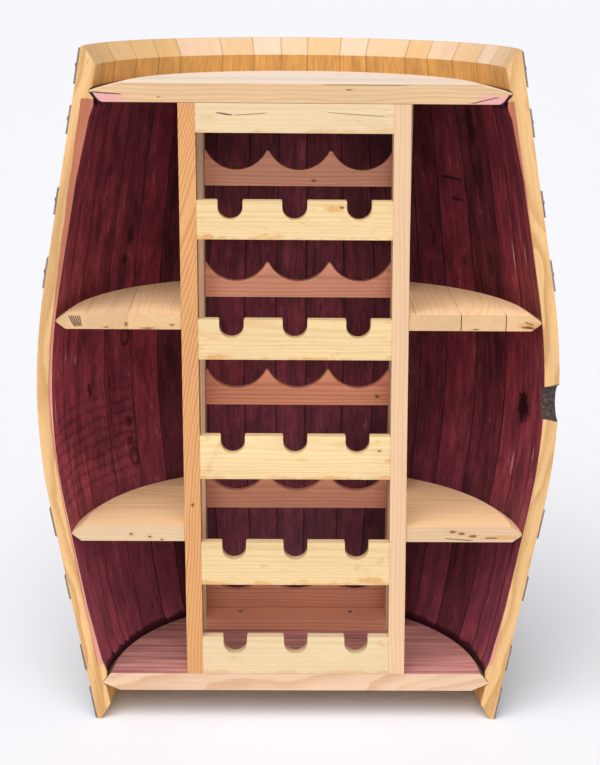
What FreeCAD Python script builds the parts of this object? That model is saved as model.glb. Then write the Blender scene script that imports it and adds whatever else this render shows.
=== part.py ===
import FreeCAD, Part

# Half-barrel wine rack.
# A wine barrel is sawn in half along its length and stood on end. Its hoops are screwed down at
# the saw cut. The two half heads stay in their grooves and carry a wooden bottle frame, and
# quarters of other barrel heads make two shelves on each side of the frame.
#
# While the pieces are drawn, the barrel's axis is the Z axis, the floor is Z = 0, the saw cut is
# the plane Y = 0 and the barrel lies behind it, towards +Y. Bearings are degrees turned about Z
# from the right-hand cut edge (+X), so the left-hand cut edge is at 180. The pieces are exported
# with the origin moved to the middle of the depth. Lengths are in millimetres.

import math
import os

from FreeCAD import Vector

# ---- barrel ----------------------------------------------------------------------------------
HEIGHT = 950.0                # stave length, end to end
BILGE_RADIUS = 357.0          # outside, at the widest place
END_RADIUS = 285.5            # outside, at both ends
BEND_HALF_HEIGHT = 156.0      # the staves bend within this distance of the middle, then run straight
STAVE_THICKNESS = 20.5
STAVE_SHARES = (11.0, 9.5, 12.0, 9.9, 8.6, 14.6, 10.3, 8.6, 8.1, 10.1, 8.4, 13.3, 8.0, 10.2, 11.9,
                8.5, 10.0, 7.0)                  # relative widths, from the left cut edge
CHIME_FLAT = 5.0              # flat end face left beside the bevel
CHIME_BEVEL_HEIGHT = 24.0
CHIME_THICKNESS = 23.3        # at the foot of the bevel
HOWEL_THICKNESS = 22.5        # at the head groove
SHOULDER_LIP_THICKNESS = 26.7     # on the inner side of the groove
SHOULDER_LENGTH = 18.0            # from the groove to the start of the slope
SHOULDER_THICKNESS = 28.5
SLOPE_START = (34.0, 25.0)        # distance inboard of the groove, and thickness there
SLOPE_END = 115.0                 # distance inboard of the groove where the body thickness starts
BUNG_OUTER_RADIUS = 25.5
BUNG_INNER_RADIUS = 23.0

# ---- heads -----------------------------------------------------------------------------------
HEAD_INSET = 45.0             # stave end to the head's outside face
HEAD_THICKNESS = 26.0
HEAD_TIP_INSET = 12.0         # outside face to the rim's edge
HEAD_TIP_THICKNESS = 2.4
INSIDE_BEVEL_SHARE = 0.86     # short bevel on the inside face: its width for its height
TOP_OUTSIDE_BEVEL = 42.0      # width of the long bevel on the outside face
BOTTOM_OUTSIDE_BEVEL = 24.0
CROZE_DEPTH = 2.6             # how far the rim enters its groove
CROZE_MOUTH_OUTSIDE = 5.0     # groove half-opening towards the stave end
CROZE_MOUTH_INSIDE = 9.0      # and towards the middle of the barrel
CROZE_FLOOR = 4.0
RIM_CLEARANCE = 0.3
TOP_HEAD_SEAMS = (92.0, 160.0)              # distances behind the saw cut
BOTTOM_HEAD_SEAMS = (60.0, 127.5, 199.0)
DOWEL_RADIUS = 4.0
DOWEL_LENGTH = 40.0
DOWEL_CLEARANCE = 0.1
DOWEL_SHARE = 0.55            # dowels stand this share of the half chord from the middle

# ---- hoops -----------------------------------------------------------------------------------
HOOP_BANDS = ((2.0, 46.0), (76.0, 37.0), (184.0, 35.0), (278.0, 41.0))   # (from the end, width)
HOOP_THICKNESS = 2.0
HOOP_FIT = 0.3                # room between hoop and staves
LAPPED_HOOPS = {1: 118.0, 3: 71.0, 4: 97.0, 6: 84.0, 7: 131.0}   # hoop number: bearing of its lap
LAP_LENGTH = 52.0
LAP_JOG = 2.5
RIVET_RADIUS = 4.0
RIVET_HEAD_RADIUS = 7.0
RIVET_HEAD_HEIGHT = 2.2
RIVET_SPACING = 24.0
HOOP_SCREW_INSET = 13.0       # along the hoop from the saw cut

# ---- screws ----------------------------------------------------------------------------------
ROUND_HEAD_RADIUS = 4.6
ROUND_HEAD_HEIGHT = 3.0
ROUND_SCREW_RADIUS = 1.9
ROUND_SCREW_LENGTH = 16.0
FLAT_HEAD_RADIUS = 4.0
FLAT_HEAD_HEIGHT = 3.0
FLAT_SCREW_RADIUS = 2.0
RAIL_SCREW_LENGTH = 42.0
SHELF_SCREW_LENGTH = 42.0
CLEAT_SCREW_COVER = 4.0       # wood left between a cleat screw's point and the head's outside
HEAD_SUNK = 0.4               # countersunk heads sit this far below the surface
SCREW_CLEARANCE = 0.1
RECESS_SPAN = 4.4             # cross recess in a screw's head
RECESS_WIDTH = 0.9
RECESS_DEPTH = 1.5

# ---- bottle frame ----------------------------------------------------------------------------
FRONT_POST_WIDTH = 22.5
FRONT_POST_DEPTH = 38.0
# Each front post leans a little: middle of its width at the foot, and at the head.
FRONT_POST_LINES = {"left": (-144.5, -150.0), "right": (143.2, 133.4)}
REAR_POST_WIDTH = FRONT_POST_WIDTH
REAR_POST_DEPTH = 51.0
REAR_POST_GAP = 9.0                      # from a rear post's back corner to the staves' shoulders
REAR_POST_INNER = {"left": -135.5, "right": 137.0}
FRONT_RAIL_THICKNESS = 15.0
FRONT_RAIL_TOP_HEIGHT = 38.5
# Notched rails: height of the upper edge above the posts' feet, and width of the board.
FRONT_RAILS = ((679.8, 52.0), (518.3, 55.5), (354.3, 62.0), (198.8, 63.0), (56.3, 56.3))
NECK_PITCH = 86.0
NECK_RADIUS = 16.7
NECK_DEPTH = 25.5
NECK_EASE = 1.5               # rounding of the notch's upper corners
BOTTLES_PER_ROW = 3
REAR_RAIL_THICKNESS = 12.0
# Scalloped rails: height of the lower edge above the posts' feet, and width below the scallops.
REAR_RAILS = ((672.8, 23.0), (509.3, 23.5), (345.3, 25.5), (182.8, 27.0), (19.8, 28.5))
SCALLOP_RADIUS = 48.5
SCALLOP_DEPTH = 27.0
CLEAT_DEPTH = 38.0
CLEAT_HEIGHT = 20.0
FRAME_CLEARANCE = 0.2         # at each end of a rail, and at the ends of the posts
RAIL_SCREW_SHARE = 0.27       # rail screws stand this share of the board's width from its edges
CLEAT_SCREW_SPAN = 168.0
CLEAT_SCREW_SETBACK = 24.0    # behind the cleat's front face

# ---- shelves ---------------------------------------------------------------------------------
SHELF_THICKNESS = 22.0
SHELF_RADIUS = 272.0
SHELF_TIP_INSET = 11.0        # upper face to the rim's edge
SHELF_UPPER_BEVEL = 15.0
SHELF_LOWER_BEVEL = 13.0
SHELF_SETBACK = 3.0           # behind the saw cut
SHELF_CLEARANCE = 0.4
UPPER_SHELF_TOP = 597.0
LOWER_SHELF_TOP = 293.0
SHELF_SCREW_INSET = 27.0      # behind the front post's front face

# ---- values that follow ----------------------------------------------------------------------
MIDDLE = HEIGHT / 2.0
HALF_TURN = 180.0
FULL_TURN = 360.0
SLOPE_STEPS = 40              # enough for the slope to settle
AXIS = Vector(0, 0, 1)
ORIGIN = Vector(0, 0, 0)



def straight_slope():
    """Slope at which a bend about the middle runs on into straight ends of the right radius."""
    swell = BILGE_RADIUS - END_RADIUS
    slope = 0.0
    for _ in range(SLOPE_STEPS):
        bend_swell = BEND_HALF_HEIGHT * math.tan(slope / 2)
        slope = math.atan((swell - bend_swell) / (MIDDLE - BEND_HALF_HEIGHT))
    return slope


SLOPE = straight_slope()
BILGE_ARC = BEND_HALF_HEIGHT / math.sin(SLOPE)
ARC_CENTRE = BILGE_RADIUS - BILGE_ARC

INSIDE_BEVEL = INSIDE_BEVEL_SHARE * (HEAD_THICKNESS - HEAD_TIP_INSET - HEAD_TIP_THICKNESS / 2)
HEAD_TIP_DEPTH = HEAD_INSET + HEAD_TIP_INSET
HEAD_INNER_DEPTH = HEAD_INSET + HEAD_THICKNESS
FRAME_FOOT = HEAD_INNER_DEPTH + FRAME_CLEARANCE
FRAME_HEAD = HEIGHT - HEAD_INNER_DEPTH - FRAME_CLEARANCE
DEPTH = BILGE_RADIUS


def parallel_radius(z, offset):
    """Radius, at height z, of the surface parallel to the barrel's outside."""
    rise = abs(z - MIDDLE)
    arc = BILGE_ARC + offset
    if rise <= arc * math.sin(SLOPE):
        return ARC_CENTRE + math.sqrt(arc ** 2 - rise ** 2)
    return ARC_CENTRE + arc * math.cos(SLOPE) - (rise - arc * math.sin(SLOPE)) * math.tan(SLOPE)


HEAD_RADIUS = parallel_radius(HEIGHT - HEAD_TIP_DEPTH, 0) - HOWEL_THICKNESS + CROZE_DEPTH
SHOULDER_RADIUS = parallel_radius(HEAD_TIP_DEPTH + SHOULDER_LENGTH, 0) - SHOULDER_THICKNESS
REAR_POST_OUTER = max(abs(inner) for inner in REAR_POST_INNER.values()) + REAR_POST_WIDTH
REAR_POST_BACK = math.sqrt((SHOULDER_RADIUS - REAR_POST_GAP) ** 2 - REAR_POST_OUTER ** 2)
REAR_POST_SETBACK = REAR_POST_BACK - REAR_POST_DEPTH
REAR_RAIL_FRONT = REAR_POST_BACK - REAR_RAIL_THICKNESS


def polar(radius, bearing, z):
    angle = math.radians(bearing)
    return Vector(radius * math.cos(angle), radius * math.sin(angle), z)


def section_face(edges):
    return Part.Face(Part.Wire(Part.__sortEdges__(edges)))


def line(start, end):
    return Part.makeLine(start, end)


def polygon_face(points):
    corners = [Vector(*point) for point in points]
    return Part.Face(Part.makePolygon(corners + corners[:1]))


def parallel_edges(low, high, offset):
    """Edges, in the XZ plane, of the curve parallel to the barrel's outside between two heights."""
    bend = (BILGE_ARC + offset) * math.sin(SLOPE)
    heights = [low]
    for z in (MIDDLE - bend, MIDDLE + bend):
        if low < z < high:
            heights.append(z)
    heights.append(high)
    edges = []
    for start, end in zip(heights, heights[1:]):
        first = Vector(parallel_radius(start, offset), 0, start)
        last = Vector(parallel_radius(end, offset), 0, end)
        centre = (start + end) / 2.0
        if abs(centre - MIDDLE) < bend:
            through = Vector(parallel_radius(centre, offset), 0, centre)
            edges.append(Part.Arc(first, through, last).toShape())
        else:
            edges.append(line(first, last))
    return edges


def turned(face, start, sweep):
    """Turn a face drawn in the XZ plane about Z, from a bearing and through an angle."""
    placed = face.copy()
    placed.rotate(ORIGIN, AXIS, start)
    return placed.revolve(ORIGIN, AXIS, sweep)


def mirrored_up(points):
    """Carry the lower end's outline points to the upper end."""
    return [Vector(point.x, 0, HEIGHT - point.z) for point in reversed(points)]


def cylinder(base, direction, radius, length):
    return Part.makeCylinder(radius, length, base, direction)


def box(low, high):
    size = Vector(*high) - Vector(*low)
    return Part.makeBox(size.x, size.y, size.z, Vector(*low))


# ---- staves ----------------------------------------------------------------------------------
def stave_end_points():
    """Inside outline of a stave's lower end, from the floor up to the even body."""
    groove = HEAD_RADIUS + RIM_CLEARANCE
    floor_half = CROZE_FLOOR / 2.0

    def inside(z, thickness):
        return Vector(parallel_radius(z, 0) - thickness, 0, z)

    shoulder = HEAD_TIP_DEPTH + SHOULDER_LENGTH
    slope_start = HEAD_TIP_DEPTH + SLOPE_START[0]
    slope_end = HEAD_TIP_DEPTH + SLOPE_END
    return [
        Vector(END_RADIUS - CHIME_FLAT, 0, 0),
        inside(CHIME_BEVEL_HEIGHT, CHIME_THICKNESS),
        inside(HEAD_TIP_DEPTH - CROZE_MOUTH_OUTSIDE, HOWEL_THICKNESS),
        Vector(groove, 0, HEAD_TIP_DEPTH - floor_half),
        Vector(groove, 0, HEAD_TIP_DEPTH + floor_half),
        inside(HEAD_TIP_DEPTH + CROZE_MOUTH_INSIDE, SHOULDER_LIP_THICKNESS),
        inside(shoulder, SHOULDER_THICKNESS),
        inside(slope_start, SLOPE_START[1]),
        Vector(parallel_radius(slope_end, -STAVE_THICKNESS), 0, slope_end),
    ]


def stave_face():
    lower = stave_end_points()
    upper = mirrored_up(lower)
    edges = parallel_edges(0, HEIGHT, 0)
    edges += parallel_edges(lower[-1].z, upper[0].z, -STAVE_THICKNESS)
    for points in (lower, upper):
        edges += [line(start, end) for start, end in zip(points, points[1:])]
    for z in (0.0, HEIGHT):
        edges.append(line(Vector(END_RADIUS - CHIME_FLAT, 0, z), Vector(END_RADIUS, 0, z)))
    return section_face(edges)


def bung_cutter():
    outer = BILGE_RADIUS + STAVE_THICKNESS
    inner = BILGE_RADIUS - 2 * STAVE_THICKNESS
    flare = (BUNG_OUTER_RADIUS - BUNG_INNER_RADIUS) / STAVE_THICKNESS
    inner_radius = BUNG_OUTER_RADIUS - flare * (BILGE_RADIUS - inner)
    outer_radius = BUNG_OUTER_RADIUS + flare * (outer - BILGE_RADIUS)
    return Part.makeCone(inner_radius, outer_radius, outer - inner, Vector(inner, 0, MIDDLE),
                         Vector(1, 0, 0))


def make_staves():
    face = stave_face()
    scale = HALF_TURN / sum(STAVE_SHARES)
    staves = {}
    bearing = HALF_TURN
    for number, share in enumerate(STAVE_SHARES, 1):
        sweep = share * scale
        bearing -= sweep
        staves[f"stave_{number:02d}"] = turned(face, bearing, sweep)
    right_edge = f"stave_{len(STAVE_SHARES):02d}"
    staves[right_edge] = staves[right_edge].cut(bung_cutter())
    return staves


# ---- heads and shelves: discs of doweled boards ----------------------------------------------
def disc(radius, thickness, tip_inset, upper_bevel, lower_bevel, top):
    """Round panel with both sides of its rim bevelled; tip_inset is measured from its top face."""
    tip = top - tip_inset
    half_tip = HEAD_TIP_THICKNESS / 2.0
    face = polygon_face([
        (0, 0, top - thickness),
        (radius - lower_bevel, 0, top - thickness),
        (radius, 0, tip - half_tip),
        (radius, 0, tip + half_tip),
        (radius - upper_bevel, 0, top),
        (0, 0, top),
    ])
    return face.revolve(ORIGIN, AXIS, FULL_TURN)


def split(panel, seams, along):
    """Cut a panel at the seams, which are distances along one direction, into its boards."""
    bounds = panel.BoundBox
    limits = [-BILGE_RADIUS] + list(seams) + [BILGE_RADIUS]
    boards = []
    for start, end in zip(limits, limits[1:]):
        low = [-BILGE_RADIUS, -BILGE_RADIUS, bounds.ZMin - 1]
        high = [BILGE_RADIUS, BILGE_RADIUS, bounds.ZMax + 1]
        low[along] = start
        high[along] = end
        boards.append(panel.common(box(low, high)))
    return boards


def head_dowels(seams, z):
    """Dowels across each seam of a head, two to a seam."""
    dowels = []
    for seam in seams:
        half_chord = math.sqrt(HEAD_RADIUS ** 2 - (seam + DOWEL_LENGTH / 2) ** 2)
        for side in (-1, 1):
            base = Vector(side * DOWEL_SHARE * half_chord, seam - DOWEL_LENGTH / 2, z)
            dowels.append((base, Vector(0, 1, 0)))
    return dowels


def make_heads():
    """Boards of both half heads, and the dowels that join them."""
    behind_cut = box((-BILGE_RADIUS, 0, 0), (BILGE_RADIUS, BILGE_RADIUS, HEIGHT))
    top_face = HEIGHT - HEAD_INSET
    top = disc(HEAD_RADIUS, HEAD_THICKNESS, HEAD_TIP_INSET, TOP_OUTSIDE_BEVEL, INSIDE_BEVEL, top_face)
    bottom = disc(HEAD_RADIUS, HEAD_THICKNESS, HEAD_THICKNESS - HEAD_TIP_INSET, INSIDE_BEVEL,
                  BOTTOM_OUTSIDE_BEVEL, HEAD_INNER_DEPTH)
    boards = {}
    dowels = []
    for name, panel, seams, z in (
            ("top_head", top, TOP_HEAD_SEAMS, top_face - HEAD_THICKNESS / 2),
            ("bottom_head", bottom, BOTTOM_HEAD_SEAMS, HEAD_INSET + HEAD_THICKNESS / 2)):
        places = head_dowels(seams, z)
        holes = [cylinder(base, way, DOWEL_RADIUS + DOWEL_CLEARANCE, DOWEL_LENGTH)
                 for base, way in places]
        dowels += [cylinder(base, way, DOWEL_RADIUS, DOWEL_LENGTH) for base, way in places]
        for number, board in enumerate(split(panel.common(behind_cut), seams, 1), 1):
            boards[f"{name}_board_{number}"] = board.cut(holes)
    return boards, dowels


# Every shelf: side of the frame (-1 left), upper face, direction of its seams (0 across X, 1
# across Y), and the seams' distances from the frame or from the saw cut.
SHELVES = {
    "shelf_upper_left": (-1, UPPER_SHELF_TOP, 0, (72.0, 129.0)),
    "shelf_upper_right": (1, UPPER_SHELF_TOP, 0, (9.0, 71.0, 132.0)),
    "shelf_lower_left": (-1, LOWER_SHELF_TOP, 1, (79.0, 184.0)),
    "shelf_lower_right": (1, LOWER_SHELF_TOP, 1, (68.0, 121.0)),
}


def shelf_tip_height(top):
    return top - SHELF_TIP_INSET


def make_shelf(side, top, along, seams, frame):
    """Quarter of a barrel head, as its boards, from the frame out to the staves."""
    inside = parallel_radius(shelf_tip_height(top), -STAVE_THICKNESS)
    centre = side * (inside - SHELF_CLEARANCE - SHELF_RADIUS)
    panel = disc(SHELF_RADIUS, SHELF_THICKNESS, SHELF_TIP_INSET, SHELF_UPPER_BEVEL,
                 SHELF_LOWER_BEVEL, top)
    panel.translate(Vector(centre, 0, 0))
    post = "right" if side > 0 else "left"
    outer_face = max(abs(front_post_edge(post, z, side)) for z in (top, top - SHELF_THICKNESS))
    inner_end = side * (outer_face + SHELF_CLEARANCE)
    reach = sorted((inner_end, side * BILGE_RADIUS))
    quarter = panel.common(box((reach[0], SHELF_SETBACK, 0), (reach[1], BILGE_RADIUS, HEIGHT)))
    rear_post = frame[f"rear_post_{post}"].BoundBox
    notch = box((rear_post.XMin - SHELF_CLEARANCE, rear_post.YMin - SHELF_CLEARANCE, 0),
                (rear_post.XMax + SHELF_CLEARANCE, rear_post.YMax + SHELF_CLEARANCE, HEIGHT))
    quarter = quarter.cut(notch)
    if along == 0:
        seams = sorted(inner_end + side * seam for seam in seams)
    return Part.makeCompound(split(quarter, seams, along))


# ---- hoops -----------------------------------------------------------------------------------
def hoop_heights():
    """Lower and upper edge of each hoop, from the top hoop down."""
    upper = [(HEIGHT - inset - width, HEIGHT - inset) for inset, width in HOOP_BANDS]
    lower = [(inset, inset + width) for inset, width in reversed(HOOP_BANDS)]
    return upper + lower


def hoop_band(low, high, layer, start, sweep):
    """Piece of hoop between two bearings; layer 1 lies over layer 0."""
    inner = HOOP_FIT + layer * HOOP_THICKNESS
    outer = inner + HOOP_THICKNESS
    edges = parallel_edges(low, high, inner) + parallel_edges(low, high, outer)
    for z in (low, high):
        edges.append(line(Vector(parallel_radius(z, inner), 0, z),
                          Vector(parallel_radius(z, outer), 0, z)))
    return turned(section_face(edges), start, sweep)


def arc_degrees(length, z):
    return math.degrees(length / parallel_radius(z, 0))


def make_hoop(number, low, high):
    """One hoop, in two strips where its riveted lap lies in this half of the barrel."""
    if number not in LAPPED_HOOPS:
        return hoop_band(low, high, 0, 0, HALF_TURN)
    lap = LAPPED_HOOPS[number]
    middle = (low + high) / 2
    lap_sweep = arc_degrees(LAP_LENGTH, middle)
    jog = arc_degrees(LAP_JOG, middle)
    under = hoop_band(low, high, 0, 0, lap)
    over = hoop_band(low, high, 0, lap + jog / 2, HALF_TURN - lap - jog / 2)
    tail = hoop_band(low, high, 1, lap - lap_sweep, lap_sweep + 2 * jog)
    return Part.makeCompound([under, over.fuse(tail)])


def surface_normal(bearing, z):
    """Outward normal of the barrel's outside."""
    rise = z - MIDDLE
    tilt = math.copysign(min(abs(math.asin(max(-1, min(1, rise / BILGE_ARC)))), SLOPE), rise)
    return polar(math.cos(tilt), bearing, math.sin(tilt))


def hoop_screw_places():
    """Base point of each round-head screw on its hoop, and the way it points out."""
    places = []
    for low, high in hoop_heights():
        z = (low + high) / 2
        inset = arc_degrees(HOOP_SCREW_INSET, z)
        for bearing in (inset, HALF_TURN - inset):
            normal = surface_normal(bearing, z)
            base = polar(parallel_radius(z, 0), bearing, z) + normal * (HOOP_FIT + HOOP_THICKNESS)
            places.append((base, normal))
    return places


def rivet_places():
    places = []
    for number, (low, high) in enumerate(hoop_heights(), 1):
        if number not in LAPPED_HOOPS:
            continue
        z = (low + high) / 2
        middle = LAPPED_HOOPS[number] - arc_degrees(LAP_LENGTH / 2, z)
        for side in (-1, 1):
            bearing = middle + side * arc_degrees(RIVET_SPACING / 2, z)
            normal = surface_normal(bearing, z)
            outside = HOOP_FIT + 2 * HOOP_THICKNESS
            places.append((polar(parallel_radius(z, 0), bearing, z) + normal * outside, normal))
    return places


# ---- bottle frame ----------------------------------------------------------------------------
def front_post_middle(side, z):
    foot, head = FRONT_POST_LINES[side]
    return foot + (head - foot) * (z - FRAME_FOOT) / (FRAME_HEAD - FRAME_FOOT)


def front_post_edge(side, z, way):
    """X of a front post's face at height z; way is -1 for its left face and 1 for its right."""
    return front_post_middle(side, z) + way * FRONT_POST_WIDTH / 2


def front_board(low, high, start, end):
    """Board between the front posts, its ends cut to their lean."""
    gap = FRAME_CLEARANCE
    face = polygon_face([
        (front_post_edge("left", low, 1) + gap, start, low),
        (front_post_edge("right", low, -1) - gap, start, low),
        (front_post_edge("right", high, -1) - gap, start, high),
        (front_post_edge("left", high, 1) + gap, start, high),
    ])
    return face.extrude(Vector(0, end - start, 0))


def neck_notch(x, top):
    """Cutter for one bottle neck: a round-bottomed slot whose mouth is eased at its corners."""
    centre = top - NECK_DEPTH + NECK_RADIUS
    mouth = NECK_RADIUS + NECK_EASE
    ease_start = top - NECK_EASE
    ease_bend = NECK_EASE * (1 - math.sqrt(0.5))
    above = top + NECK_EASE
    edges = [
        Part.Arc(Vector(x - NECK_RADIUS, 0, centre), Vector(x, 0, centre - NECK_RADIUS),
                 Vector(x + NECK_RADIUS, 0, centre)).toShape(),
        line(Vector(x + NECK_RADIUS, 0, centre), Vector(x + NECK_RADIUS, 0, ease_start)),
        Part.Arc(Vector(x + NECK_RADIUS, 0, ease_start),
                 Vector(x + NECK_RADIUS + ease_bend, 0, top - ease_bend),
                 Vector(x + mouth, 0, top)).toShape(),
        line(Vector(x + mouth, 0, top), Vector(x + mouth, 0, above)),
        line(Vector(x + mouth, 0, above), Vector(x - mouth, 0, above)),
        line(Vector(x - mouth, 0, above), Vector(x - mouth, 0, top)),
        Part.Arc(Vector(x - mouth, 0, top),
                 Vector(x - NECK_RADIUS - ease_bend, 0, top - ease_bend),
                 Vector(x - NECK_RADIUS, 0, ease_start)).toShape(),
        line(Vector(x - NECK_RADIUS, 0, ease_start), Vector(x - NECK_RADIUS, 0, centre)),
    ]
    return section_face(edges).extrude(Vector(0, FRONT_RAIL_THICKNESS, 0))


def bottle_offsets(pitch):
    """Places of the bottles of one row, about its middle."""
    return [(index - (BOTTLES_PER_ROW - 1) / 2) * pitch for index in range(BOTTLES_PER_ROW)]


def front_rail_edges():
    """Upper edge and width of every notched rail, from the top down."""
    return [(FRAME_FOOT + top, width) for top, width in FRONT_RAILS]


def rear_rail_edges():
    """Lower edge and web of every scalloped rail, from the top down."""
    return [(FRAME_FOOT + foot, web) for foot, web in REAR_RAILS]


def make_front_rail(top, width):
    rail = front_board(top - width, top, 0, FRONT_RAIL_THICKNESS)
    middle = (front_post_middle("left", top) + front_post_middle("right", top)) / 2
    return rail.cut([neck_notch(middle + offset, top) for offset in bottle_offsets(NECK_PITCH)])


def rear_span():
    """Left and right end of the boards between the rear posts."""
    return REAR_POST_INNER["left"] + FRAME_CLEARANCE, REAR_POST_INNER["right"] - FRAME_CLEARANCE


def make_rear_rail(foot, web):
    left, right = rear_span()
    back = REAR_RAIL_FRONT + REAR_RAIL_THICKNESS
    rail = box((left, REAR_RAIL_FRONT, foot), (right, back, foot + web + SCALLOP_DEPTH))
    pitch = (right - left) / BOTTLES_PER_ROW
    centre_height = foot + web + SCALLOP_RADIUS
    scallops = [cylinder(Vector((left + right) / 2 + offset, REAR_RAIL_FRONT, centre_height),
                         Vector(0, 1, 0), SCALLOP_RADIUS, REAR_RAIL_THICKNESS)
                for offset in bottle_offsets(pitch)]
    return rail.cut(scallops)


def make_front_post(side):
    corners = []
    for z, ways in ((FRAME_FOOT, (-1, 1)), (FRAME_HEAD, (1, -1))):
        corners += [(front_post_edge(side, z, way), 0, z) for way in ways]
    return polygon_face(corners).extrude(Vector(0, FRONT_POST_DEPTH, 0))


def make_rear_post(side, way):
    inner = REAR_POST_INNER[side]
    faces = sorted((inner, inner + way * REAR_POST_WIDTH))
    return box((faces[0], REAR_POST_SETBACK, FRAME_FOOT),
               (faces[1], REAR_POST_SETBACK + REAR_POST_DEPTH, FRAME_HEAD))


def make_cleat(low):
    left, right = rear_span()
    front = REAR_POST_SETBACK
    return box((left, front, low), (right, front + CLEAT_DEPTH, low + CLEAT_HEIGHT))


def make_frame():
    frame = {}
    for side, way in (("left", -1), ("right", 1)):
        frame[f"front_post_{side}"] = make_front_post(side)
        frame[f"rear_post_{side}"] = make_rear_post(side, way)
    frame["front_rail_top"] = front_board(FRAME_HEAD - FRONT_RAIL_TOP_HEIGHT, FRAME_HEAD, 0,
                                          FRONT_RAIL_THICKNESS)
    for number, (top, width) in enumerate(front_rail_edges(), 1):
        frame[f"front_rail_{number}"] = make_front_rail(top, width)
    for number, (foot, web) in enumerate(rear_rail_edges(), 1):
        frame[f"rear_rail_{number}"] = make_rear_rail(foot, web)
    frame["rear_cleat_top"] = make_cleat(FRAME_HEAD - CLEAT_HEIGHT)
    frame["rear_cleat_bottom"] = make_cleat(FRAME_FOOT)
    return frame


# ---- screws and rivets -----------------------------------------------------------------------
def aimed(shape, base, direction):
    """Copy of a shape drawn about +Z, moved to a base point and turned to a direction."""
    placed = shape.copy()
    placed.Placement = FreeCAD.Placement(base, FreeCAD.Rotation(AXIS, direction))
    return placed


def revolved(edges):
    return section_face(edges).revolve(ORIGIN, AXIS, FULL_TURN)


def dome_headed(head_radius, head_height, shank_radius, shank_length):
    """Round head standing on Z = 0 with its shank below."""
    ball = (head_radius ** 2 + head_height ** 2) / (2 * head_height)
    half_angle = math.asin(head_radius / ball) / 2
    rim = Vector(head_radius, 0, 0)
    crown = Vector(0, 0, head_height)
    through = Vector(ball * math.sin(half_angle), 0, head_height - ball * (1 - math.cos(half_angle)))
    neck = Vector(shank_radius, 0, 0)
    point = Vector(shank_radius, 0, -shank_length)
    tip = Vector(0, 0, -shank_length)
    return revolved([line(tip, point), line(point, neck), line(neck, rim),
                     Part.Arc(rim, through, crown).toShape(), line(crown, tip)])


def cross_recess(top, depth):
    """Cross-shaped driver recess, cut down from a height."""
    long_half = RECESS_SPAN / 2
    short_half = RECESS_WIDTH / 2
    first = box((-long_half, -short_half, top - depth), (long_half, short_half, top + 1))
    second = box((-short_half, -long_half, top - depth), (short_half, long_half, top + 1))
    return first.fuse(second)


def round_screw():
    screw = dome_headed(ROUND_HEAD_RADIUS, ROUND_HEAD_HEIGHT, ROUND_SCREW_RADIUS,
                        ROUND_SCREW_LENGTH)
    return screw.cut(cross_recess(ROUND_HEAD_HEIGHT, RECESS_DEPTH))


def rivet():
    """Flattened rivet that fills both strips of a lap."""
    return dome_headed(RIVET_HEAD_RADIUS, RIVET_HEAD_HEIGHT, RIVET_RADIUS, 2 * HOOP_THICKNESS)


def flat_outline(length, extra, mouth):
    """Countersunk screw below Z = 0; extra widens it and mouth carries its head up for a hole."""
    face = -HEAD_SUNK
    shank = FLAT_SCREW_RADIUS + extra
    head = FLAT_HEAD_RADIUS + extra
    outline = [
        (0, 0, face - length - extra),
        (shank, 0, face - length - extra),
        (shank, 0, face - FLAT_HEAD_HEIGHT),
        (head, 0, face),
    ]
    if mouth:
        outline.append((head, 0, face + mouth))
    outline.append((0, 0, face + mouth))
    return polygon_face(outline).revolve(ORIGIN, AXIS, FULL_TURN)


def flat_screw(length):
    return flat_outline(length, 0, 0).cut(cross_recess(-HEAD_SUNK, RECESS_DEPTH))


def flat_screw_hole(length):
    return flat_outline(length, SCREW_CLEARANCE, 1 + HEAD_SUNK)


def rail_screw_places():
    """Screws through the posts into the ends of the rails and cleats."""
    places = []
    front_rows = [(FRAME_HEAD, FRONT_RAIL_TOP_HEIGHT)] + front_rail_edges()
    for side, way in (("left", -1), ("right", 1)):
        outward = Vector(way, 0, 0)
        for top, width in front_rows:
            for share in (RAIL_SCREW_SHARE, 1 - RAIL_SCREW_SHARE):
                z = top - width * share
                face = front_post_edge(side, z, way)
                places.append((Vector(face, FRONT_RAIL_THICKNESS / 2, z), outward))
        outer = REAR_POST_INNER[side] + way * REAR_POST_WIDTH
        rail_middle = REAR_RAIL_FRONT + REAR_RAIL_THICKNESS / 2
        for foot, web in rear_rail_edges():
            places.append((Vector(outer, rail_middle, foot + web / 2), outward))
        cleat_middle = REAR_POST_SETBACK + CLEAT_DEPTH / 2
        for z in (FRAME_FOOT + CLEAT_HEIGHT / 2, FRAME_HEAD - CLEAT_HEIGHT / 2):
            places.append((Vector(outer, cleat_middle, z), outward))
    return places


def cleat_screw_places():
    """Screws through the cleats into the heads."""
    places = []
    y = REAR_POST_SETBACK + CLEAT_SCREW_SETBACK
    for x in (-CLEAT_SCREW_SPAN / 2, CLEAT_SCREW_SPAN / 2):
        places.append((Vector(x, y, FRAME_FOOT + CLEAT_HEIGHT), AXIS))
        places.append((Vector(x, y, FRAME_HEAD - CLEAT_HEIGHT), AXIS * -1))
    return places


def shelf_screw_places():
    """Screws from inside the frame, through a front post and a rear post, into each shelf."""
    places = []
    for side, top, _, _ in SHELVES.values():
        post = "right" if side > 0 else "left"
        z = top - SHELF_THICKNESS / 2
        front_face = front_post_edge(post, z, -side)
        places.append((Vector(front_face, SHELF_SCREW_INSET, z), Vector(-side, 0, 0)))
        rear_y = REAR_POST_SETBACK + REAR_POST_DEPTH / 3
        places.append((Vector(REAR_POST_INNER[post], rear_y, z), Vector(-side, 0, 0)))
    return places


# ---- assembly --------------------------------------------------------------------------------
def drill(pieces, cutters):
    """Take each cutter out of every piece that its bounds reach."""
    for name, piece in pieces.items():
        near = [cutter for cutter in cutters if piece.BoundBox.intersect(cutter.BoundBox)]
        if near:
            pieces[name] = piece.cut(near)


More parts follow.
